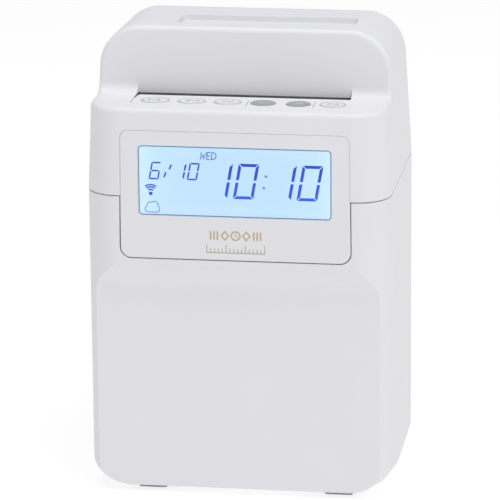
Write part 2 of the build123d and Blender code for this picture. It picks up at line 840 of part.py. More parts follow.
def make_feed():
    """Driven rollers behind the card, free rollers in front, and the gear drive."""
    with BuildPart() as shaft:
        rod_x(feed_shaft_radius, (gear_x - 1.5, 60), feed_y, feed_z)
        chamfer(shaft.edges().filter_by(GeomType.CIRCLE), 0.4)
    save(shaft.part, "feed_shaft")

    with BuildPart() as rollers:
        for x in (-roller_x, roller_x):
            span = (x - roller_width / 2, x + roller_width / 2)
            rod_x(feed_roller_radius, span, feed_y, feed_z)
            rod_x(feed_shaft_radius, span, feed_y, feed_z, mode=Mode.SUBTRACT)
    save(rollers.part, "feed_rollers")

    with BuildPart() as bearings:
        for side in (-1, 1):
            body = sorted((side * (plate_x - 1), side * (plate_x + plate_thickness)))
            flange = sorted((side * (plate_x - 1), side * plate_x))
            rod_x(bearing_radius, body, feed_y, feed_z)
            rod_x(bearing_flange_radius, flange, feed_y, feed_z)
            rod_x(feed_shaft_radius + running_gap, body, feed_y, feed_z, mode=Mode.SUBTRACT)
    save(bearings.part, "feed_bearings")

    gear_plane = Plane(origin=(gear_x, feed_y, feed_z), x_dir=(0, 1, 0), z_dir=(1, 0, 0))
    with BuildPart() as gear:
        with BuildSketch(gear_plane):
            add(gear_outline(gear_teeth, 0))
            Circle(feed_shaft_radius, mode=Mode.SUBTRACT)
            with PolarLocations(9.5, 5):
                Circle(2.8, mode=Mode.SUBTRACT)
        extrude(amount=gear_width)
    save(gear.part, "feed_gear")

    pinion_plane = Plane(origin=(gear_x, motor_y, feed_z), x_dir=(0, 1, 0), z_dir=(1, 0, 0))
    with BuildPart() as pinion:
        with BuildSketch(pinion_plane):
            add(gear_outline(pinion_teeth, 0.5))
        extrude(amount=gear_width)
        rod_x(motor_shaft_radius, (gear_x, -50), motor_y, feed_z)
    save(pinion.part, "motor_pinion")

    with BuildPart() as motor:
        rod_x(13, (-plate_x, -34), motor_y, feed_z)
        fillet(motor.edges().sort_by(Axis.X)[-1], 1.5)
        block((-36, -32), (motor_y - 4, motor_y + 4), (feed_z - 2, feed_z + 2))
        rod_x(
            motor_shaft_radius + running_gap, (-60, -49.5), motor_y, feed_z, mode=Mode.SUBTRACT
        )
    save(motor.part, "feed_motor")

    with BuildPart() as pinch_shaft:
        rod_x(pinch_shaft_radius, (-58.5, 58.5), pinch_y, feed_z)
        chamfer(pinch_shaft.edges().filter_by(GeomType.CIRCLE), 0.3)
    save(pinch_shaft.part, "pinch_shaft")

    with BuildPart() as pinch_rollers:
        for x in (-roller_x, roller_x):
            span = (x - roller_width / 2, x + roller_width / 2)
            rod_x(pinch_roller_radius, span, pinch_y, feed_z)
            rod_x(pinch_shaft_radius, span, pinch_y, feed_z, mode=Mode.SUBTRACT)
    save(pinch_rollers.part, "pinch_rollers")


# ---- Printing -------------------------------------------------------------------------------

def make_printer():
    """Head on a belt-driven carriage, with the ink ribbon stretched in front of it."""
    for label, y, radius in (
        ("carriage_rail", rail_y, rail_radius),
        ("carriage_rear_rail", rear_rail_y, rear_rail_radius),
    ):
        with BuildPart() as rail:
            rod_x(radius, (-58, 58), y, rail_z)
            chamfer(rail.edges().filter_by(GeomType.CIRCLE), 0.4)
        save(rail.part, label)

    x = (carriage_home_x - carriage_half_width, carriage_home_x + carriage_half_width)
    belt_y = pulley_y - pulley_radius - belt_thickness / 2
    with BuildPart() as carriage:
        block(x, (-12, 13), (153.5, 166.5))
        fillet(carriage.edges().filter_by(Axis.Z), 1.5)
        rod_x(rail_radius + running_gap, (x[0] - 1, x[1] + 1), rail_y, rail_z, mode=Mode.SUBTRACT)
        rod_x(
            rear_rail_radius + running_gap,
            (x[0] - 1, x[1] + 1),
            rear_rail_y,
            rail_z,
            mode=Mode.SUBTRACT,
        )
        # Two fingers that grip the belt.
        for finger_y in (belt_y - 2.3, belt_y + 0.8):
            block(
                (carriage_home_x - 4, carriage_home_x + 4),
                (finger_y, finger_y + 1.5),
                (147, 154),
            )
    save(carriage.part, "print_carriage")

    with BuildPart() as head:
        block((-33, -15), (-13, 1), (166.5, 179))
        fillet(head.edges().filter_by(Axis.Z), 2)
        block((-28, -20), (hood_face_y + 0.6, -12), (168.5, 175))
        # Cooling fins across the top.
        for step in range(4):
            low = -10.5 + 3 * step
            block((-34, -14), (low, low + 1.3), (174, 180), mode=Mode.SUBTRACT)
    save(head.part, "print_head")

    with BuildPart() as deck:
        block((-plate_x, plate_x), deck_y, deck_z)
        through = (deck_z[0] - 4.6, deck_z[1] + 4)
        rod_z(3, pulley_x, pulley_y, through, mode=Mode.SUBTRACT)
        bore = pulley_shaft_radius + running_gap
        rod_z(bore, -pulley_x, pulley_y, through, mode=Mode.SUBTRACT)
    save(deck.part, "mechanism_deck")

    for label, centre in (("drive_pulley", pulley_x), ("idler_pulley", -pulley_x)):
        with BuildPart() as pulley:
            rod_z(pulley_radius, centre, pulley_y, (pulley_z, pulley_z + 5))
            rod_z(pulley_radius + 1, centre, pulley_y, (pulley_z + 5, pulley_z + 5.8))
            rod_z(pulley_shaft_radius, centre, pulley_y, (138, pulley_z))
            rod_z(2, centre, pulley_y, (pulley_z + 5.8, pulley_z + 8))
        save(pulley.part, label)

    with BuildPart() as belt:
        with BuildSketch(Plane.XY.offset(pulley_z + 0.4)):
            with Locations((0, pulley_y)):
                SlotCenterToCenter(2 * pulley_x, 2 * (pulley_radius + 0.05 + belt_thickness))
                SlotCenterToCenter(
                    2 * pulley_x, 2 * (pulley_radius + 0.05), mode=Mode.SUBTRACT
                )
        extrude(amount=4)
    save(belt.part, "carriage_belt")

    with BuildPart() as motor:
        rod_z(12, pulley_x, pulley_y, (124, deck_z[0]))
        fillet(motor.edges().sort_by(Axis.Z)[0], 1.5)
        bore = pulley_shaft_radius + running_gap
        rod_z(bore, pulley_x, pulley_y, (137.5, deck_z[1]), mode=Mode.SUBTRACT)
    save(motor.part, "carriage_motor")

    with BuildPart() as tray:
        block((-plate_x, plate_x), (deck_y[1], plate_y[1]), tray_z)
        block((-30, 30), (22, 40), (150, 170), mode=Mode.SUBTRACT)
    save(tray.part, "cassette_tray")

    with BuildPart() as cassette:
        block((-cassette_half_width, cassette_half_width), cassette_y, cassette_z)
        fillet(cassette.edges().filter_by(Axis.Z), 4)
        for side in (-1, 1):
            arm = sorted((side * cassette_arm_inner_x, side * cassette_half_width))
            block(arm, (hood_face_y, 20), (ribbon_z[0] - 1, ribbon_z[1] + 1))
        # Grip recess on the top.
        block((-14, 14), (20, 39), (176.5, 181), mode=Mode.SUBTRACT)
        rod_z(knob_stem_radius + running_gap, knob_x, knob_y, (170, 181), mode=Mode.SUBTRACT)
    save(cassette.part, "ribbon_cassette")

    with BuildPart() as ribbon:
        across = (-cassette_arm_inner_x, cassette_arm_inner_x)
        block(across, (hood_face_y, hood_face_y + ribbon_thickness), ribbon_z)
    save(ribbon.part, "ink_ribbon")

    with BuildPart() as knob:
        with BuildSketch(Plane.XY.offset(knob_bottom_z)):
            with Locations((knob_x, knob_y)):
                Circle(knob_radius)
                with PolarLocations(knob_radius + 0.3, 12):
                    Circle(0.9, mode=Mode.SUBTRACT)
        extrude(amount=knob_height)
        rod_z(knob_stem_radius, knob_x, knob_y, (171, knob_bottom_z + 0.2))
        # Slot across the top of the knob.
        block(
            (knob_x - 0.8, knob_x + 0.8),
            (knob_y - 6, knob_y + 6),
            (knob_bottom_z + knob_height - 1.2, knob_bottom_z + knob_height + 1.2),
            mode=Mode.SUBTRACT,
        )
    save(knob.part, "ribbon_knob")


# ---- Power and control ----------------------------------------------------------------------

def make_electrics():
    """Main board on the rear wall, transformer and battery on the base, and the inlet."""
    with BuildPart() as board:
        block((-board_half_width, board_half_width), board_y, board_z)
    save(board.part, "main_board")

    with BuildPart() as fittings:
        # Processor, memory, two connectors, three capacitors and the heat sink.
        face = board_y[0]
        block((-12, 8), (face - 2.4, face), (70, 90))
        block((-40, -22), (face - 3.5, face), (60, 68))
        block((20, 44), (face - 5, face), (96, 104))
        block((-44, -20), (face - 6, face), (98, 106))
        for x in (18, 27, 36):
            rod_y(3.6, x, (face - 10, face), 52)
        block((14, 40), (face - 4, face), (72, 86))
    save(fittings.part, "board_parts")

    with BuildPart() as buzzer:
        face = board_y[0]
        rod_y(8, -32, (face - 9, face), 82)
        rod_y(1.2, -32, (face - 10, face - 7), 82, mode=Mode.SUBTRACT)
    save(buzzer.part, "buzzer")

    with BuildPart() as core:
        block((2, 42), (-8, 22), (base_top_z, 39))
        block((9, 14), (-10, 24), (11, 33), mode=Mode.SUBTRACT)
        block((30, 35), (-10, 24), (11, 33), mode=Mode.SUBTRACT)
    save(core.part, "transformer_core")

    with BuildPart() as coil:
        with BuildSketch(Plane.XY.offset(11.2)):
            with Locations((22, 7)):
                RectangleRounded(25.6, 42, 4)
                Rectangle(16, 30, mode=Mode.SUBTRACT)
        extrude(amount=21.6)
    save(coil.part, "transformer_coil")

    with BuildPart() as inlet:
        block((-inlet_half_width, inlet_half_width), (inlet_front_y, rear_y - 0.3), inlet_z)
        with BuildSketch(Plane.XZ.offset(-rear_y - 2)):
            with Locations((0, sum(inlet_z) / 2)):
                SlotOverall(19, 10.5)
        extrude(amount=14, mode=Mode.SUBTRACT)
        for x in (-4.3, 4.3):
            rod_y(1.2, x, (inlet_front_y + 2, inlet_front_y + 13), sum(inlet_z) / 2)
    save(inlet.part, "power_inlet")

    with BuildPart() as battery:
        block((-42, -8), (-12, 18), (base_top_z, 30))
        fillet(battery.edges().filter_by(Axis.X).group_by(Axis.Z)[-1], 6)
    save(battery.part, "backup_battery")


# ---- Key lock -------------------------------------------------------------------------------

def make_lock():
    """Lock body in the side wall, and the plug and cam that a key turns."""
    with BuildPart() as housing:
        rod_x(lock_radius, (lock_outer_x + 0.5, lock_inner_x), lock_y, lock_z)
        rod_x(lock_radius + lock_flange, (lock_outer_x, lock_outer_x + 1), lock_y, lock_z)
        across = (lock_outer_x - 1, lock_inner_x + 1)
        rod_x(key_plug_radius + running_gap, across, lock_y, lock_z, mode=Mode.SUBTRACT)
    save(housing.part, "lock_housing")

    with BuildPart() as plug:
        rod_x(key_plug_radius, (lock_outer_x, lock_inner_x), lock_y, lock_z)
        # Cam arm, upright when unlocked.
        cam_outer_x = lock_inner_x + 0.3
        cam_inner_x = cam_outer_x + cam_thickness
        rod_x(4, (lock_inner_x - 1, cam_inner_x), lock_y, lock_z)
        block(
            (cam_outer_x, cam_inner_x),
            (lock_y - cam_half_width, lock_y + cam_half_width),
            (lock_z, lock_z + cam_length),
        )
        # Keyway.
        block(
            (lock_outer_x - 1, lock_outer_x + 4),
            (lock_y - 0.6, lock_y + 0.6),
            (lock_z - 3, lock_z + 3),
            mode=Mode.SUBTRACT,
        )
    save(plug.part, "key_plug")


make_lower_case()
make_base()
make_upper_cover()
make_display()
make_buttons()
make_side_plate(-1, "left_side_plate")
make_side_plate(1, "right_side_plate")
make_card_path()
make_feed()
make_printer()
make_electrics()
make_lock()
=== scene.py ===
"""Looks of a desk-top punch time clock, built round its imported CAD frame.

Metres, +Z up, the display facing -Y. Places come from the frame's own boxes, and the drawn
shapes are given in millimetres.
"""

import json
import math

import bmesh
import bpy
from mathutils import Matrix, Vector


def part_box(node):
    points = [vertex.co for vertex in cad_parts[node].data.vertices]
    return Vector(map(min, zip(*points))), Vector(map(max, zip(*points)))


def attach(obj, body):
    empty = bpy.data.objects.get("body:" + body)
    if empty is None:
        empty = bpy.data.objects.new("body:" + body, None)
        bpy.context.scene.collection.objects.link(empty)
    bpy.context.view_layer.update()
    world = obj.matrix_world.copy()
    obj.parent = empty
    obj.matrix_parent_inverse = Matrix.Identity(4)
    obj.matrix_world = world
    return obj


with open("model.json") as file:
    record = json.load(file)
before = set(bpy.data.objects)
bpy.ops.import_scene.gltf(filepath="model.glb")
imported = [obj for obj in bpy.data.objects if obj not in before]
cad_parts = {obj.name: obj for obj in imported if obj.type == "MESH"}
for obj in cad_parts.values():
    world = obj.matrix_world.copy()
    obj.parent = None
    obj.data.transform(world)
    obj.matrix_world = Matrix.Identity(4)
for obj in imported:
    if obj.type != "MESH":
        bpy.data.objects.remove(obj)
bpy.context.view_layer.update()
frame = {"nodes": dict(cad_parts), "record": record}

mm = 0.001
nodes = frame["nodes"]

# ---- Camera ---------------------------------------------------------------------------------

camera_azimuth = math.radians(8.62)
camera_elevation = math.radians(16.0)
camera_roll = 0.0088
camera_distance = 1.972
camera_lens = 274.7
camera_reach = 100.0
camera_target = Vector((-0.0020, 0.0, 0.1139))


def make_camera():
    """Long lens in front of the clock, a little to its right and above it."""
    level = math.cos(camera_elevation)
    back = Vector(
        (
            math.sin(camera_azimuth) * level,
            -math.cos(camera_azimuth) * level,
            math.sin(camera_elevation),
        )
    )
    right = Vector((math.cos(camera_azimuth), math.sin(camera_azimuth), 0.0))
    up = back.cross(right)
    rolled_right = right * math.cos(camera_roll) - up * math.sin(camera_roll)
    rolled_up = up * math.cos(camera_roll) + right * math.sin(camera_roll)
    camera = bpy.data.objects.new("camera", bpy.data.cameras.new("camera"))
    bpy.context.scene.collection.objects.link(camera)
    turn = Matrix((rolled_right, rolled_up, back)).transposed()
    place = Matrix.Translation(camera_target + back * camera_distance)
    camera.matrix_world = place @ turn.to_4x4()
    camera.data.lens = camera_lens
    camera.data.clip_end = camera_reach
    bpy.context.scene.camera = camera


# ---- Studio ---------------------------------------------------------------------------------

sky_colour = (0.985, 0.985, 1.0, 1.0)
sky_strength = 0.50
floor_size = 30.0
lit_spot = (0.0, 0.0, 0.12)

# Soft boxes: name, place, side in metres and power in watts.
SOFT_BOXES = (
    ("key", (1.5, -1.3, 1.9), 1.2, 16.3),
    ("overhead", (-0.1, -0.25, 2.4), 1.4, 20.5),
)


def area_light(name, place, aim, size, power):
    """Square soft box that points at a spot."""
    light = bpy.data.lights.new(name, "AREA")
    light.size = size
    light.energy = power
    holder = bpy.data.objects.new(name, light)
    bpy.context.scene.collection.objects.link(holder)
    holder.location = place
    direction = Vector(aim) - Vector(place)
    holder.rotation_euler = direction.to_track_quat("-Z", "Y").to_euler()


def make_studio():
    """Even pale surroundings, one soft box high on the right and one overhead."""
    world = bpy.data.worlds.new("studio")
    bpy.context.scene.world = world
    world.use_nodes = True
    sky = world.node_tree.nodes["Background"]
    sky.inputs["Color"].default_value = sky_colour
    sky.inputs["Strength"].default_value = sky_strength
    for name, place, size, power in SOFT_BOXES:
        area_light(name, place, lit_spot, size, power)
    floor_mesh = bpy.data.meshes.new("floor")
    half = floor_size / 2
    corners = [(-half, -half, 0), (half, -half, 0), (half, half, 0), (-half, half, 0)]
    floor_mesh.from_pydata(corners, [], [(0, 1, 2, 3)])
    floor = bpy.data.objects.new("floor", floor_mesh)
    bpy.context.scene.collection.objects.link(floor)
    floor_mesh.materials.append(floor_material())
    bpy.context.scene.view_settings.view_transform = "Standard"


# ---- Node helpers ---------------------------------------------------------------------------

# Noise stays mostly between these two values.
noise_low = 0.3
noise_high = 0.7

least_roughness = 0.02


class Shader:
    """A material with a Principled shader, and short calls for the nodes that feed it."""

    def __init__(self, name, colour, roughness, metallic=0.0, specular=0.5):
        self.material = bpy.data.materials.new(name)
        self.material.use_nodes = True
        self.tree = self.material.node_tree
        self.surface = self.tree.nodes["Principled BSDF"]
        self.set("Base Color", (*colour, 1.0))
        self.set("Roughness", roughness)
        self.set("Metallic", metallic)
        self.set("Specular IOR Level", specular)
        self.colour = colour
        self.roughness = roughness
        self.material.diffuse_color = (*colour, 1.0)

    def set(self, socket, value):
        self.surface.inputs[socket].default_value = value

    def add(self, kind, **settings):
        node = self.tree.nodes.new(kind)
        for key, value in settings.items():
            setattr(node, key, value)
        return node

    def join(self, source, target):
        self.tree.links.new(source, target)

    def place(self, scale):
        """Object position, in millimetres, times a scale on each axis."""
        where = self.add("ShaderNodeTexCoord")
        mapping = self.add("ShaderNodeMapping")
        mapping.inputs["Scale"].default_value = tuple(s / mm for s in scale)
        self.join(where.outputs["Object"], mapping.inputs["Vector"])
        return mapping.outputs["Vector"]

    def noise(self, size, detail=2.0, stretch=(1.0, 1.0, 1.0)):
        """Noise whose features are about size millimetres across."""
        noise = self.add("ShaderNodeTexNoise")
        noise.inputs["Scale"].default_value = 1.0
        noise.inputs["Detail"].default_value = detail
        self.join(self.place([s / size for s in stretch]), noise.inputs["Vector"])
        return noise.outputs["Fac"]

    def between(self, value, low, high, low_in=noise_low, high_in=noise_high):
        """Maps a value from one range to another."""
        node = self.add("ShaderNodeMapRange")
        node.inputs["From Min"].default_value = low_in
        node.inputs["From Max"].default_value = high_in
        node.inputs["To Min"].default_value = low
        node.inputs["To Max"].default_value = high
        self.join(value, node.inputs["Value"])
        return node.outputs["Result"]

    def ramp(self, value, stops):
        """Colours along a value, as (position, colour) pairs."""
        node = self.add("ShaderNodeValToRGB")
        elements = node.color_ramp.elements
        while len(elements) < len(stops):
            elements.new(0.5)
        for element, (position, colour) in zip(elements, stops):
            element.position = position
            element.color = (*colour, 1.0)
        self.join(value, node.inputs["Fac"])
        return node.outputs["Color"]

    def tint(self, value, spread):
        """Base colour that drifts lighter and darker by a share."""
        dark = tuple(c * (1 - spread) for c in self.colour)
        light = tuple(min(1.0, c * (1 + spread)) for c in self.colour)
        drift = self.ramp(value, [(noise_low, dark), (noise_high, light)])
        self.join(drift, self.surface.inputs["Base Color"])

    def gloss(self, value, spread):
        """Roughness that drifts up and down by an amount."""
        low = max(least_roughness, self.roughness - spread)
        result = self.between(value, low, self.roughness + spread)
        self.join(result, self.surface.inputs["Roughness"])

    def relief(self, value, depth):
        """Bump of a depth in millimetres."""
        bump = self.add("ShaderNodeBump")
        bump.inputs["Distance"].default_value = depth * mm
        self.join(value, bump.inputs["Height"])
        self.join(bump.outputs["Normal"], self.surface.inputs["Normal"])


# ---- Materials ------------------------------------------------------------------------------


def floor_material():
    """Matt paper that glows a little, so that it comes out white."""
    paper = Shader("floor_paper", (0.36, 0.36, 0.36), 0.9, specular=0.1)
    paper.set("Emission Color", (1.0, 1.0, 1.0, 1.0))
    paper.set("Emission Strength", 0.7)
    return paper.material


def plastic(name, colour, roughness, grain=0.45, depth=0.004):
    """Moulded plastic: fine spark-eroded grain, faint drift in colour and in gloss."""
    shader = Shader(name, colour, roughness, specular=0.45)
    shader.tint(shader.noise(size=38.0, detail=3.0), spread=0.012)
    shader.gloss(shader.noise(size=14.0, detail=4.0), spread=0.035)
    shader.relief(shader.noise(size=grain), depth)
    return shader.material


def metal(name, colour, roughness, brushed=(1.0, 1.0, 1.0), size=0.5, depth=0.003):
    """Metal with marks drawn out along one axis."""
    shader = Shader(name, colour, roughness, metallic=1.0)
    shader.tint(shader.noise(size=9.0, detail=4.0), spread=0.05)
    shader.gloss(shader.noise(size, detail=3.0, stretch=brushed), spread=0.08)
    shader.relief(shader.noise(size, stretch=brushed), depth)
    return shader.material


def zinc_sheet():
    """Zinc-coated steel with its soft spangle."""
    shader = Shader("sheet_steel", (0.62, 0.63, 0.65), 0.38, metallic=1.0)
    cells = shader.add("ShaderNodeTexVoronoi")
    cells.inputs["Scale"].default_value = 1.0
    shader.join(shader.place((0.16, 0.16, 0.16)), cells.inputs["Vector"])
    stops = [(0.0, (0.5, 0.51, 0.53)), (1.0, (0.7, 0.71, 0.73))]
    grey = shader.ramp(cells.outputs["Color"], stops)
    shader.join(grey, shader.surface.inputs["Base Color"])
    shader.gloss(shader.noise(size=4.0, detail=4.0), spread=0.1)
    shader.relief(shader.noise(size=1.2), depth=0.004)
    return shader.material


def circuit_board():
    """Green solder mask over copper tracks, with rows of small pads."""
    shader = Shader("circuit_board", (0.02, 0.16, 0.07), 0.35)
    bricks = shader.add("ShaderNodeTexBrick", offset=0.37, squash=0.6, squash_frequency=3)
    bricks.inputs["Color1"].default_value = (0.012, 0.13, 0.055, 1.0)
    bricks.inputs["Color2"].default_value = (0.02, 0.17, 0.075, 1.0)
    bricks.inputs["Mortar"].default_value = (0.06, 0.3, 0.12, 1.0)
    bricks.inputs["Scale"].default_value = 1.0
    bricks.inputs["Mortar Size"].default_value = 0.035
    bricks.inputs["Brick Width"].default_value = 1.3
    bricks.inputs["Row Height"].default_value = 0.42
    turn = shader.add("ShaderNodeMapping")
    turn.inputs["Rotation"].default_value = (math.pi / 2, 0.0, 0.0)
    shader.join(shader.place((0.25, 0.25, 0.25)), turn.inputs["Vector"])
    shader.join(turn.outputs["Vector"], bricks.inputs["Vector"])
    shader.join(bricks.outputs["Color"], shader.surface.inputs["Base Color"])
    shader.relief(bricks.outputs["Fac"], depth=0.02)
    return shader.material


def rubber(name="rubber", colour=(0.045, 0.045, 0.048)):
    """Matt rubber, a little dusty."""
    shader = Shader(name, colour, 0.8, specular=0.3)
    shader.tint(shader.noise(size=3.0, detail=5.0), spread=0.25)
    shader.gloss(shader.noise(size=6.0), spread=0.08)
    shader.relief(shader.noise(size=0.35, detail=3.0), depth=0.02)
    return shader.material


def core_sheets():
    """Varnished stack of thin steel sheets."""
    shader = Shader("core_steel", (0.11, 0.11, 0.12), 0.45)
    wave = shader.add("ShaderNodeTexWave", bands_direction="Y")
    wave.inputs["Scale"].default_value = 1.0
    wave.inputs["Distortion"].default_value = 0.4
    shader.join(shader.place((0.3, 0.3, 0.3)), wave.inputs["Vector"])
    stops = [(0.2, (0.05, 0.05, 0.055)), (0.8, (0.17, 0.17, 0.18))]
    shader.join(shader.ramp(wave.outputs["Fac"], stops), shader.surface.inputs["Base Color"])
    shader.relief(wave.outputs["Fac"], depth=0.05)
    return shader.material


def coil_tape():
    """Yellow tape wound over the coil, with its overlaps."""
    shader = Shader("coil_wrap", (0.72, 0.5, 0.07), 0.4)
    wave = shader.add("ShaderNodeTexWave", bands_direction="Z", wave_profile="SAW")
    wave.inputs["Scale"].default_value = 1.0
    wave.inputs["Distortion"].default_value = 0.6
    shader.join(shader.place((0.06, 0.06, 0.06)), wave.inputs["Vector"])
    shader.tint(shader.noise(size=5.0, detail=3.0), spread=0.08)
    shader.relief(wave.outputs["Fac"], depth=0.08)
    return shader.material


def ribbon_cloth():
    """Fine inked weave."""
    shader = Shader("ribbon_cloth", (0.04, 0.03, 0.07), 0.75, specular=0.25)
    checks = shader.add("ShaderNodeTexChecker")
    checks.inputs["Scale"].default_value = 1.0
    shader.join(shader.place((5.0, 5.0, 5.0)), checks.inputs["Vector"])
    shader.tint(shader.noise(size=6.0, detail=4.0), spread=0.3)
    shader.relief(checks.outputs["Fac"], depth=0.03)
    return shader.material


def clear_lens():
    """Clear acrylic window."""
    shader = Shader("clear_window", (1.0, 1.0, 1.0), 0.04)
    shader.set("Transmission Weight", 1.0)
    shader.set("IOR", 1.05)
    shader.gloss(shader.noise(size=11.0, detail=3.0), spread=0.015)
    return shader.material


def lit_glass():
    """Backlit display glass: pale blue, a little brighter towards its edges.

    The offset from the middle is raised to the fourth power on each axis, so that the glow
    changes only near the edges.
    """
    low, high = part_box("lcd_panel")
    middle = (low + high) / 2
    half = (high - low) / 2
    shader = Shader("lcd", (0.05, 0.08, 0.1), 0.25)
    where = shader.add("ShaderNodeTexCoord")
    centre = shader.add("ShaderNodeMapping")
    centre.inputs["Location"].default_value = (-middle.x / half.x, 0.0, -middle.z / half.z)
    centre.inputs["Scale"].default_value = (1 / half.x, 0.0, 1 / half.z)
    shader.join(where.outputs["Object"], centre.inputs["Vector"])
    squared = shader.add("ShaderNodeVectorMath", operation="MULTIPLY")
    shader.join(centre.outputs["Vector"], squared.inputs[0])
    shader.join(centre.outputs["Vector"], squared.inputs[1])
    fourth = shader.add("ShaderNodeVectorMath", operation="MULTIPLY")
    shader.join(squared.outputs["Vector"], fourth.inputs[0])
    shader.join(squared.outputs["Vector"], fourth.inputs[1])
    distance = shader.add("ShaderNodeVectorMath", operation="LENGTH")
    shader.join(fourth.outputs["Vector"], distance.inputs[0])
    stops = [(0.0, (0.5, 0.71, 0.98)), (0.45, (0.53, 0.76, 0.99)), (1.0, (0.66, 0.86, 1.0))]
    glow = shader.ramp(distance.outputs["Value"], stops)
    shader.join(glow, shader.surface.inputs["Emission Color"])
    shader.set("Emission Strength", 0.96)
    return shader.material


def lit_ink(name, low_colour, high_colour):
    """Lit-through ink of the display, from its colour low on the glass to its colour high up."""
    low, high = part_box("lcd_panel")
    shader = Shader(name, (0.01, 0.02, 0.1), 0.3)
    where = shader.add("ShaderNodeTexCoord")
    parts = shader.add("ShaderNodeSeparateXYZ")
    shader.join(where.outputs["Object"], parts.inputs["Vector"])
    share = shader.between(parts.outputs["Z"], 0.0, 1.0, low.z, high.z)
    glow = shader.ramp(share, [(0.3, low_colour), (0.75, high_colour)])
    shader.join(glow, shader.surface.inputs["Emission Color"])
    shader.set("Emission Strength", 1.0)
    return shader.material


def print_ink(name, colour, metallic=0.0):
    """Screen-printed ink with a slightly uneven film."""
    shader = Shader(name, colour, 0.5, metallic=metallic)
    shader.tint(shader.noise(size=1.5, detail=3.0), spread=0.06)
    shader.gloss(shader.noise(size=0.8), spread=0.06)
    return shader.material


def key_cap(name, colour):
    """Smooth plastic of a button."""
    return plastic(name, colour, 0.4, grain=0.3, depth=0.002)


shell_white = (0.80, 0.80, 0.825)

# Makers of the finishes, by the name of the material slot or of an own finish.
MATERIALS = {
    "white_shell": lambda: plastic("white_shell", shell_white, 0.5),
    "base_plastic": lambda: plastic("base_plastic", (0.74, 0.74, 0.75), 0.55, grain=0.6),
    "rubber": rubber,
    "key_cap": lambda: key_cap("key_cap", (0.79, 0.79, 0.80)),
    "key_cap_grey": lambda: key_cap("key_cap_grey", (0.36, 0.36, 0.37)),
    "clear_window": clear_lens,
    "lcd": lit_glass,
    "diffuser": lambda: plastic("diffuser", (0.85, 0.86, 0.87), 0.3),
    "circuit_board": circuit_board,
    "black_plastic": lambda: plastic("black_plastic", (0.03, 0.03, 0.033), 0.45, grain=0.35),
    "grey_plastic": lambda: plastic("grey_plastic", (0.28, 0.29, 0.3), 0.5, grain=0.4),
    "sheet_steel": zinc_sheet,
    "bright_steel": lambda: metal("bright_steel", (0.72, 0.73, 0.75), 0.22, (0.08, 1.0, 1.0)),
    "lock_metal": lambda: metal("lock_metal", (0.66, 0.66, 0.67), 0.3, (1.0, 0.3, 0.3), size=0.4),
    "bronze": lambda: metal("bronze", (0.55, 0.36, 0.16), 0.42, size=0.3, depth=0.01),
    "gear_plastic": lambda: plastic("gear_plastic", (0.68, 0.66, 0.58), 0.38, grain=0.5),
    "head_metal": lambda: metal("head_metal", (0.5, 0.51, 0.53), 0.45, size=0.7, depth=0.01),
    "core_steel": core_sheets,
    "coil_wrap": coil_tape,
    "ribbon_cloth": ribbon_cloth,
    "foot_rubber": lambda: rubber("foot_rubber", (0.3, 0.3, 0.31)),
}

# Nodes whose finish isn't that of their material slot.
OWN_FINISH = {"rubber_feet": "foot_rubber"}


def paint_cad_nodes():
    """Gives every CAD node the finish that its material slot names."""
    made = {}
    for part in frame["record"]["subparts"]:
        finish = OWN_FINISH.get(part["node"], part["material_slot"])
        if finish not in made:
            made[finish] = MATERIALS[finish]()
        node = nodes[part["node"]]
        node.data.materials.clear()
        node.data.materials.append(made[finish])
    return made


# ---- Flat drawing ---------------------------------------------------------------------------


# Limit on how far a sharp corner of a line runs out.
least_lean = 0.4


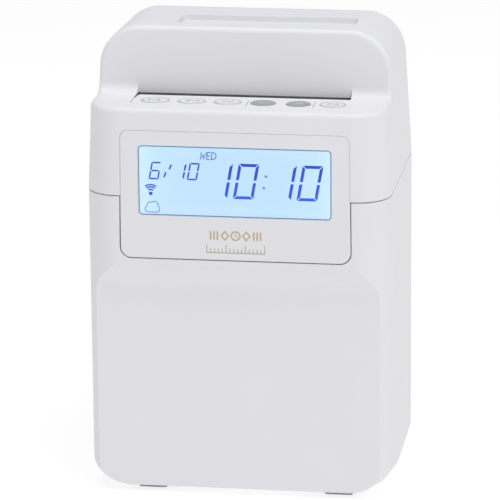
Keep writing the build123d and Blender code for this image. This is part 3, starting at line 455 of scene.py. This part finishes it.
class Drawing:
    """Thin raised film built from flat shapes on one plane, in millimetres from its origin."""

    def __init__(self, name, origin, right, up, thickness):
        self.name = name
        self.origin = Vector(origin)
        self.right = Vector(right)
        self.up = Vector(up)
        self.rise = self.right.cross(self.up) * thickness * mm
        self.mesh = bmesh.new()

    def point(self, spot, level):
        flat = self.origin + (self.right * spot[0] + self.up * spot[1]) * mm
        return flat + self.rise * level

    def shape(self, outline):
        """Closed outline, given in either sense."""
        turning = sum(
            (b[0] - a[0]) * (b[1] + a[1]) for a, b in zip(outline, outline[1:] + outline[:1])
        )
        if turning > 0:
            outline = outline[::-1]
        under = [self.mesh.verts.new(self.point(spot, 0)) for spot in outline]
        over = [self.mesh.verts.new(self.point(spot, 1)) for spot in outline]
        self.mesh.faces.new(under[::-1])
        self.mesh.faces.new(over)
        for i in range(len(outline)):
            j = (i + 1) % len(outline)
            self.mesh.faces.new((under[i], under[j], over[j], over[i]))

    def line(self, points, width, closed=False):
        """Ribbon of even width along a path."""
        count = len(points)
        sides = ([], [])
        for i, (x, y) in enumerate(points):
            before = points[i - 1] if i > 0 or closed else None
            after = points[(i + 1) % count] if i < count - 1 or closed else None
            steps = []
            if before is not None:
                steps.append(Vector((x - before[0], y - before[1])).normalized())
            if after is not None:
                steps.append(Vector((after[0] - x, after[1] - y)).normalized())
            along = sum(steps, Vector((0.0, 0.0))).normalized()
            across = Vector((-along.y, along.x))
            lean = abs(across.dot(Vector((-steps[0].y, steps[0].x))))
            spread = width / 2 / max(least_lean, lean)
            sides[0].append((x + across.x * spread, y + across.y * spread))
            sides[1].append((x - across.x * spread, y - across.y * spread))
        rings = []
        for side in sides:
            for level in (0, 1):
                rings.append([self.mesh.verts.new(self.point(spot, level)) for spot in side])
        left_under, left_over, right_under, right_over = rings
        last = count if closed else count - 1
        for i in range(last):
            j = (i + 1) % count
            self.mesh.faces.new((left_over[i], right_over[i], right_over[j], left_over[j]))
            self.mesh.faces.new((left_under[j], right_under[j], right_under[i], left_under[i]))
            self.mesh.faces.new((left_under[i], left_over[i], left_over[j], left_under[j]))
            self.mesh.faces.new((right_over[i], right_under[i], right_under[j], right_over[j]))
        if not closed:
            for i, order in ((0, 1), (count - 1, -1)):
                corners = (left_under[i], right_under[i], right_over[i], left_over[i])
                self.mesh.faces.new(corners[::order])

    def finish(self, body, slot, material):
        """Makes the drawing a piece that rides on a body."""
        bmesh.ops.recalc_face_normals(self.mesh, faces=self.mesh.faces)
        data = bpy.data.meshes.new(self.name)
        self.mesh.to_mesh(data)
        self.mesh.free()
        piece = bpy.data.objects.new(self.name, data)
        bpy.context.scene.collection.objects.link(piece)
        data.materials.append(material)
        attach(piece, body)


def arc(centre, radius, start, end, steps=12):
    """Points along an arc, with angles in degrees."""
    x, y = centre
    angles = [math.radians(start + (end - start) * i / steps) for i in range(steps + 1)]
    return [(x + radius * math.cos(a), y + radius * math.sin(a)) for a in angles]


def oval(centre, half_width, half_height, steps=48):
    """Points round an ellipse."""
    x, y = centre
    angles = [2 * math.pi * i / steps for i in range(steps)]
    return [(x + half_width * math.cos(a), y + half_height * math.sin(a)) for a in angles]


def rounded_frame(width, height, radius, steps=8):
    """Points round a rectangle with round corners, about its middle."""
    points = []
    for x, y, start in ((1, 1, 0), (-1, 1, 90), (-1, -1, 180), (1, -1, 270)):
        centre = (x * (width / 2 - radius), y * (height / 2 - radius))
        points += arc(centre, radius, start, start + 90, steps)
    return points


# ---- Display --------------------------------------------------------------------------------

# Gaps between the bars of a figure, as shares of their stroke.
segment_gap = 0.19
waist_gap = 0.3

# Lit bars of each figure: a to f run clockwise from the top bar, and g is the middle one.
SEGMENTS = {"0": "abcdef", "1": "bc", "6": "acdefg"}

# What the glass shows is measured rightwards and down from a point near its top left corner.
content_inset_right = 1.2
content_inset_down = 2.0
glass_clearance = 0.03
glass_film = 0.02

# Time: the figures and their places, the foot of the row, and the size of every figure.
TIME_CELLS = (("1", 34.8), ("0", 48.0), ("1", 66.9), ("0", 80.1))
time_foot = 27.6
time_width = 10.4
time_height = 18.3
time_stroke = 1.55
time_slant = 3.3

COLON_DOTS = ((64.9, 15.5), (63.8, 21.5))
colon_radius = 0.68

# Date: figure, place, foot, width, height, stroke and slant, then the loose strokes between them.
DATE_CELLS = (
    ("6", 5.5, 18.7, 5.15, 9.1, 0.8, 1.8),
    ("1", 18.9, 18.3, 4.6, 8.4, 0.95, 1.6),
    ("0", 24.85, 18.6, 5.2, 9.0, 0.84, 1.7),
)
DATE_STROKES = (((16.1, 13.3), (17.3, 10.8)), ((13.4, 17.5), (14.5, 14.8)))
date_stroke_width = 0.85

# Day of the week: where its letters start, and their size.
day_right = 32.0
day_down = 7.6
letter_height = 3.6
letter_lean = 0.9
letter_stroke = 0.55

# Signal sign: three arcs, with angles in degrees, over a dot.
signal_right = 6.6
signal_down = 26.0
SIGNAL_RADII = (2.06, 3.36, 4.5)
signal_start = 52
signal_end = 128
signal_stroke = 0.78
signal_dot_radius = 1.0

cloud_right = 3.7
cloud_down = 35.7
cloud_stroke = 0.5

# Printed border of the window.
border_width = 96.7
border_height = 35.3
border_radius = 1.7
border_stroke = 0.55

dot_steps = 20


def segment_shapes(width, height, stroke):
    """Outlines of the seven bars of one figure, in a cell with its origin at the bottom left."""
    w, h, t = width, height, stroke
    g = segment_gap * t
    waist = h / 2
    foot = waist + waist_gap * t
    upper_left = [(0, h - g), (t, h - t - g), (t, foot + t / 4), (t / 2, foot), (0, foot + t / 4)]

    def flip_x(outline):
        return [(w - x, y) for x, y in outline]

    def flip_y(outline):
        return [(x, h - y) for x, y in outline]

    top = [(g, h), (w - g, h), (w - t - g, h - t), (t + g, h - t)]
    middle = [(t * 0.7, waist), (t * 1.3, waist + t / 2), (w - t * 1.3, waist + t / 2)]
    middle += [(w - t * 0.7, waist), (w - t * 1.3, waist - t / 2), (t * 1.3, waist - t / 2)]
    return {
        "a": top,
        "b": flip_x(upper_left),
        "c": flip_x(flip_y(upper_left)),
        "d": flip_y(top),
        "e": flip_y(upper_left),
        "f": upper_left,
        "g": middle,
    }


def draw_figure(drawing, figure, left, bottom, width, height, stroke, slant):
    """One seven-bar figure, leaning to the right."""
    shapes = segment_shapes(width, height, stroke)
    for bar in SEGMENTS[figure]:
        outline = [(left + x + slant * y / height, bottom + y) for x, y in shapes[bar]]
        drawing.shape(outline)


def draw_day(drawing, x, y):
    """Three plain letters for the day of the week, from the bottom left of the first one."""
    high, lean, width = letter_height, letter_lean, letter_stroke
    drawing.line([(x + lean * 0.5, y + high), (x, y), (x + 1.5, y + high * 0.7)], width)
    drawing.line([(x + 1.5, y + high * 0.7), (x + 1.6, y), (x + 3.1, y + high)], width)

    x += 3.1
    head = [(x + 1.7 + lean * 0.6, y + high), (x + lean * 0.6, y + high)]
    drawing.line([*head, (x, y), (x + 1.6, y)], width)
    drawing.line([(x + lean * 0.3, y + high / 2), (x + 1.7, y + high / 2)], width)

    x += 2.3
    curve = arc((x + 0.75, y + high / 2), high / 2 - 0.05, 65, -70, 8)
    drawing.line([(x + lean * 0.6, y + high), *curve, (x, y)], width, closed=True)


def cloud_outline(x, y):
    """Four arcs round a small cloud, from the bottom left of its box."""
    outline = arc((x + 1.6, y + 1.7), 1.6, 270, 120, 8)
    outline += arc((x + 2.4, y + 3.9), 1.35, 190, 70, 6)
    outline += arc((x + 4.7, y + 3.6), 2.0, 130, 15, 8)
    outline += arc((x + 5.6, y + 1.75), 1.75, 50, -90, 8)
    return outline


def make_display():
    """Figures and signs on the face of the display's glass."""
    panel_low, panel_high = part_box("lcd_panel")
    left = panel_low.x / mm + content_inset_right
    top = panel_high.z / mm - content_inset_down
    face = (0.0, panel_low.y - glass_clearance * mm, 0.0)
    sheet = {"origin": face, "right": (1, 0, 0), "up": (0, 0, 1), "thickness": glass_film}

    strong = lit_ink("display_ink", (0.01, 0.09, 0.60), (0.0, 0.035, 0.41))
    faint = lit_ink("display_ink_faint", (0.09, 0.21, 0.54), (0.09, 0.20, 0.48))
    pale = lit_ink("display_ink_pale", (0.15, 0.26, 0.50), (0.15, 0.26, 0.50))

    time = Drawing("display_time", **sheet)
    time_size = (time_width, time_height, time_stroke, time_slant)
    for figure, cell in TIME_CELLS:
        draw_figure(time, figure, left + cell, top - time_foot, *time_size)
    time.finish("cover", "lcd", strong)

    colon = Drawing("display_colon", **sheet)
    for x, y in COLON_DOTS:
        colon.shape(oval((left + x, top - y), colon_radius, colon_radius, dot_steps))
    colon.finish("cover", "lcd", faint)

    date = Drawing("display_date", **sheet)
    for figure, cell, foot, *size in DATE_CELLS:
        draw_figure(date, figure, left + cell, top - foot, *size)
    for stroke in DATE_STROKES:
        date.line([(left + x, top - y) for x, y in stroke], date_stroke_width)
    date.finish("cover", "lcd", strong)

    day = Drawing("display_day", **sheet)
    draw_day(day, left + day_right, top - day_down)
    day.finish("cover", "lcd", faint)

    signal = Drawing("display_signal", **sheet)
    centre = (left + signal_right, top - signal_down)
    for radius in SIGNAL_RADII:
        signal.line(arc(centre, radius, signal_start, signal_end), signal_stroke)
    signal.shape(oval(centre, signal_dot_radius, signal_dot_radius, dot_steps))
    signal.finish("cover", "lcd", strong)

    cloud = Drawing("display_cloud", **sheet)
    outline = cloud_outline(left + cloud_right, top - cloud_down)
    cloud.line(outline, cloud_stroke, closed=True)
    cloud.finish("cover", "lcd", pale)


def make_window_border():
    """Thin blue-grey line where the window meets the bezel."""
    lens_low, lens_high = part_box("display_lens")
    middle = (0.0, lens_low.y - glass_film * mm, (lens_low.z + lens_high.z) / 2)
    border = Drawing("display_border", middle, (1, 0, 0), (0, 0, 1), glass_film)
    outline = rounded_frame(border_width, border_height, border_radius)
    border.line(outline, border_stroke, closed=True)
    border.finish("cover", "black_plastic", print_ink("border_ink", (0.17, 0.22, 0.40)))


# ---- Card slot ------------------------------------------------------------------------------

# How far the strip's hidden flange runs out past its raised part.
strip_flange = 4.7

# Strip of painted shade inside the card slot: its depth below the button strip, its wall
# thickness and its gap to the rear guide.
shade_strip_depth = 3.5
shade_strip_skin = 0.15
shade_strip_gap = 0.02


def strip_half_width():
    """Half the width of the raised part of the button strip."""
    return -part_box("button_strip")[0].x / mm - strip_flange


def make_slot_shade_strip():
    """Dark strip along the rear and the ends of the card slot: painted shade, giving the slot's
    shaded walls a dark colour.
    """
    strip_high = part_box("button_strip")[1]
    guide_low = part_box("upper_rear_guide")[0]
    foot = Vector((0.0, 0.0, strip_high.z - shade_strip_depth * mm))
    half = strip_half_width() + shade_strip_skin
    front = strip_high.y / mm
    rear = guide_low.y / mm - shade_strip_gap
    inner, inner_rear = half - shade_strip_skin, rear - shade_strip_skin
    outline = [(-half, front), (-half, rear), (half, rear), (half, front), (inner, front)]
    outline += [(inner, inner_rear), (-inner, inner_rear), (-inner, front)]
    shade_strip = Drawing("slot_shade_strip", foot, (1, 0, 0), (0, 1, 0), shade_strip_depth)
    shade_strip.shape(outline)
    # The strip's dark grey colour is painted shade for the inside of the slot.
    shade_strip.finish("cover", "black_plastic", rubber("slot_painted_shade", (0.13, 0.135, 0.155)))


# ---- Printed marks --------------------------------------------------------------------------

print_film = 0.03

# Emblem, measured from the bottom middle of the bezel.
emblem_middle = 0.3
emblem_row = 12.8
emblem_half = 2.2
emblem_stroke = 0.75
clock_hand_stroke = 0.5
diamond_place = 5.4
diamond_half_width = 1.8
bar_place = 9.2
bar_pitch = 1.7
bar_count = 3
bar_stroke = 0.85

# Scale of ticks under the emblem.
scale_foot = 3.9
scale_start = 14.6
tick_pitch = 1.95
tick_count = 16
ticks_per_long_one = 5
long_tick = 4.2
short_tick = 2.2
tick_stroke = 0.46
scale_line_left = 14.8
scale_line_right = 14.85

# Buttons and the strip that they sit on.
button_count = 6
FILLED_BUTTONS = (4, 5)
ring_inset = 1.5
ring_stroke = 0.44
strip_stroke_half = 5.4
strip_stroke_shift = 0.6
strip_stroke_width = 0.4
stroke_left_gap = 0.7
stroke_right_gap = 0.9
# Painted shadow wedge at the left end of the strip: its inset and its length.
edge_inset = 0.25
edge_length = 7.5

shaft_stroke = 0.55
sign_stroke = 0.5
dash_stroke = 0.6


def make_emblem():
    """Gold clock face between two diamonds and two groups of bars, over a fine tick scale."""
    bezel_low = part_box("display_bezel")[0]
    place = (0.0, bezel_low.y, bezel_low.z)
    sheet = {"origin": place, "right": (1, 0, 0), "up": (0, 0, 1), "thickness": print_film}
    centre, row, half = emblem_middle, emblem_row, emblem_half

    gold = Drawing("gold_emblem", **sheet)
    gold.line(oval((centre, row), half, half, 32), emblem_stroke, closed=True)
    hands = [(centre, row + 1.5), (centre, row), (centre + 1.1, row - 0.6)]
    gold.line(hands, clock_hand_stroke)
    for side in (-1, 1):
        x = centre + diamond_place * side
        diamond = [(x, row + half), (x + diamond_half_width, row)]
        diamond += [(x, row - half), (x - diamond_half_width, row)]
        gold.line(diamond, emblem_stroke, closed=True)
        for step in range(bar_count):
            x = centre + (bar_place + bar_pitch * step) * side
            gold.line([(x, row - half), (x, row + half)], bar_stroke)
    gold.finish("cover", "bronze", print_ink("gold_ink", (0.55, 0.43, 0.26), metallic=0.1))

    scale = Drawing("time_scale", **sheet)
    for step in range(tick_count):
        x = centre - scale_start + tick_pitch * step
        rise = short_tick if step % ticks_per_long_one else long_tick
        scale.line([(x, scale_foot), (x, scale_foot + rise)], tick_stroke)
    ends = [(centre - scale_line_left, scale_foot), (centre + scale_line_right, scale_foot)]
    scale.line(ends, tick_stroke)
    scale.finish("cover", "grey_plastic", print_ink("scale_ink", (0.48, 0.43, 0.36)))


def make_key_marks(dark):
    """Grey rings and small signs on the buttons, strokes on the strip round them, and a painted
    shadow at the left end of the slot.
    """
    grey = print_ink("grey_ink", (0.30, 0.30, 0.32))
    pale = print_ink("pale_ink", (0.62, 0.62, 0.64))
    sheet = {"right": (1, 0, 0), "up": (0, 1, 0), "thickness": print_film}
    for number in range(1, button_count + 1):
        low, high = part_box(f"button_{number}")
        middle = (low + high) / 2 / mm
        ring_x = (high.x - low.x) / 2 / mm - ring_inset
        ring_y = (high.y - low.y) / 2 / mm - ring_inset
        filled = number in FILLED_BUTTONS
        marks = Drawing(f"button_{number}_print", (0.0, 0.0, high.z), **sheet)
        if not filled:
            marks.line(oval((middle.x, middle.y), ring_x, ring_y), ring_stroke, closed=True)
        draw_sign(marks, number, middle.x, middle.y)
        marks.finish(f"button_{number}", "grey_plastic", pale if filled else grey)

    strip_low, strip_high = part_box("button_strip")
    strip_top = (0.0, 0.0, strip_high.z)
    strokes = Drawing("strip_strokes", strip_top, **sheet)
    y = (strip_low.y + strip_high.y) / 2 / mm - strip_stroke_shift
    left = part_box("button_4")[0].x / mm - stroke_left_gap
    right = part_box("button_5")[1].x / mm + stroke_right_gap
    for x in (left, right):
        ends = [(x, y - strip_stroke_half), (x, y + strip_stroke_half)]
        strokes.line(ends, strip_stroke_width)
    strokes.finish("cover", "grey_plastic", grey)

    # Painted shadow: a dark wedge along the left end of the strip, standing in for the shade in
    # the gap where the slot turns forward.
    side = edge_inset - strip_half_width()
    rear = strip_high.y / mm
    edge = Drawing("slot_edge_painted_shadow", strip_top, **sheet)
    outline = [(side - edge_inset, rear), (side - edge_inset, rear - edge_length)]
    outline += [(side + 0.1, rear - 6.5), (side + 0.6, rear - 1.2), (side + 1.6, rear)]
    edge.shape(outline)
    edge.finish("cover", "black_plastic", dark)


def draw_sign(marks, number, x, y):
    """Plain signs: two arrows, a zigzag, one dash, two dashes and a frame."""
    if number in (1, 2):
        side = 1 if number == 1 else -1
        tip = [(x + 1.0 * side, y + 1.6), (x + 2.7 * side, y), (x + 1.0 * side, y - 1.6)]
        marks.line([(x - 3.2 * side, y), (x + 2.4 * side, y)], shaft_stroke)
        marks.line(tip, sign_stroke)
        marks.line([(x - 3.2 * side, y + 1.6), (x - 3.2 * side, y - 1.6)], sign_stroke)
    elif number == 3:
        turns = [(x - 3.0, y - 1.3), (x - 1.0, y + 1.3), (x + 1.0, y - 1.3), (x + 3.0, y + 1.3)]
        marks.line(turns, sign_stroke)
    elif number in FILLED_BUTTONS:
        marks.line([(x - 2.6, y), (x + 2.6, y)], dash_stroke)
        if number == 5:
            marks.line([(x - 1.6, y + 1.3), (x + 1.6, y + 1.3)], dash_stroke)
    else:
        corners = rounded_frame(5.0, 2.8, 0.7, 3)
        marks.line([(x + a, y + b) for a, b in corners], sign_stroke, closed=True)


# ---- Making ---------------------------------------------------------------------------------

make_camera()
make_studio()
finishes = paint_cad_nodes()
make_display()
make_window_border()
make_slot_shade_strip()
make_emblem()
make_key_marks(finishes["black_plastic"])
